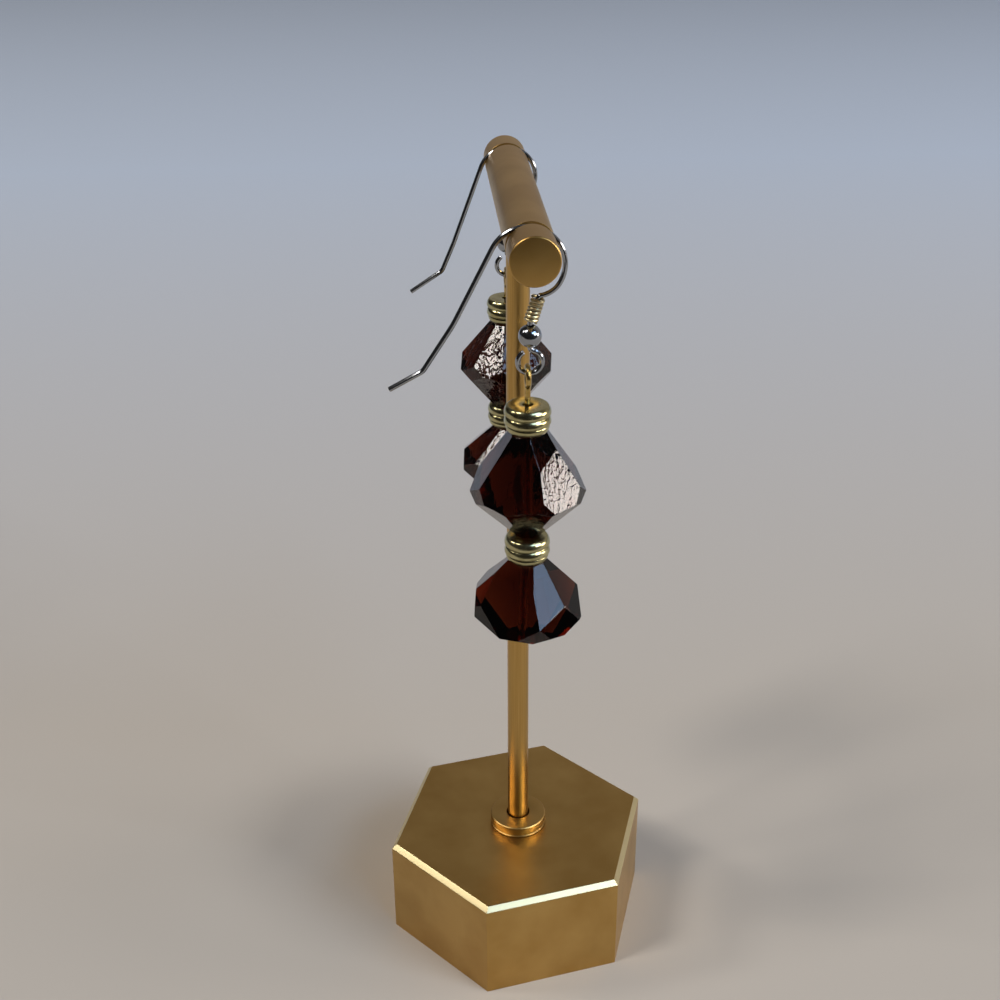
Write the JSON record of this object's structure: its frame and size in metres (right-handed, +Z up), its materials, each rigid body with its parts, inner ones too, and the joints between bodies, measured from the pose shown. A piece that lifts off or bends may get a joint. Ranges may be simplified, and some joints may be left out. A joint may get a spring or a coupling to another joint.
{
  "type": "pair of bead dangle earrings on a T-bar stand",
  "caption": "Dangle earrings with fish-hook ear wires, coil and ball, turned metal spacers and dark red faceted beads, hung on a small T-bar stand with a hexagonal base.",
  "frame": {"origin": "centre of the flat underside of the hexagonal base, under the post", "axes": "+Z up along the post; the cross bar runs along Y, the near earring at -Y; the ear hooks' tails point to -X"},
  "size_m": [0.04, 0.0528, 0.1187],
  "materials": {
    "stand_gold": "satin",
    "ear_wire": "polished",
    "pale_gold": "polished",
    "red_bead": "polished"
  },
  "bodies": {
    "stand": {"stand_base": "stand_gold", "stand_collar": "stand_gold", "stand_post": "stand_gold", "stand_bar": "stand_gold", "ear_hook_near": "ear_wire", "hook_ball_near": "ear_wire", "hook_coil_near": "ear_wire", "ear_hook_far": "ear_wire", "hook_ball_far": "ear_wire", "hook_coil_far": "ear_wire"},
    "drop_near": {"head_pin_near": "pale_gold", "top_spacer_near": "pale_gold", "upper_bead_near": "red_bead", "middle_spacer_near": "pale_gold", "lower_bead_near": "red_bead"},
    "drop_far": {"head_pin_far": "pale_gold", "top_spacer_far": "pale_gold", "upper_bead_far": "red_bead", "middle_spacer_far": "pale_gold", "lower_bead_far": "red_bead"}
  },
  "joints": [
    {"name": "near_drop_swing", "type": "hinge", "parent": "stand", "child": "drop_near", "pos_m": [-0.0001, -0.0194, 0.10195], "axis": [0, 1, 0], "range_deg": [-45, 45]},
    {"name": "far_drop_swing", "type": "hinge", "parent": "stand", "child": "drop_far", "pos_m": [-0.0001, 0.0194, 0.1015], "axis": [0, 1, 0], "range_deg": [-45, 45]}
  ]
}
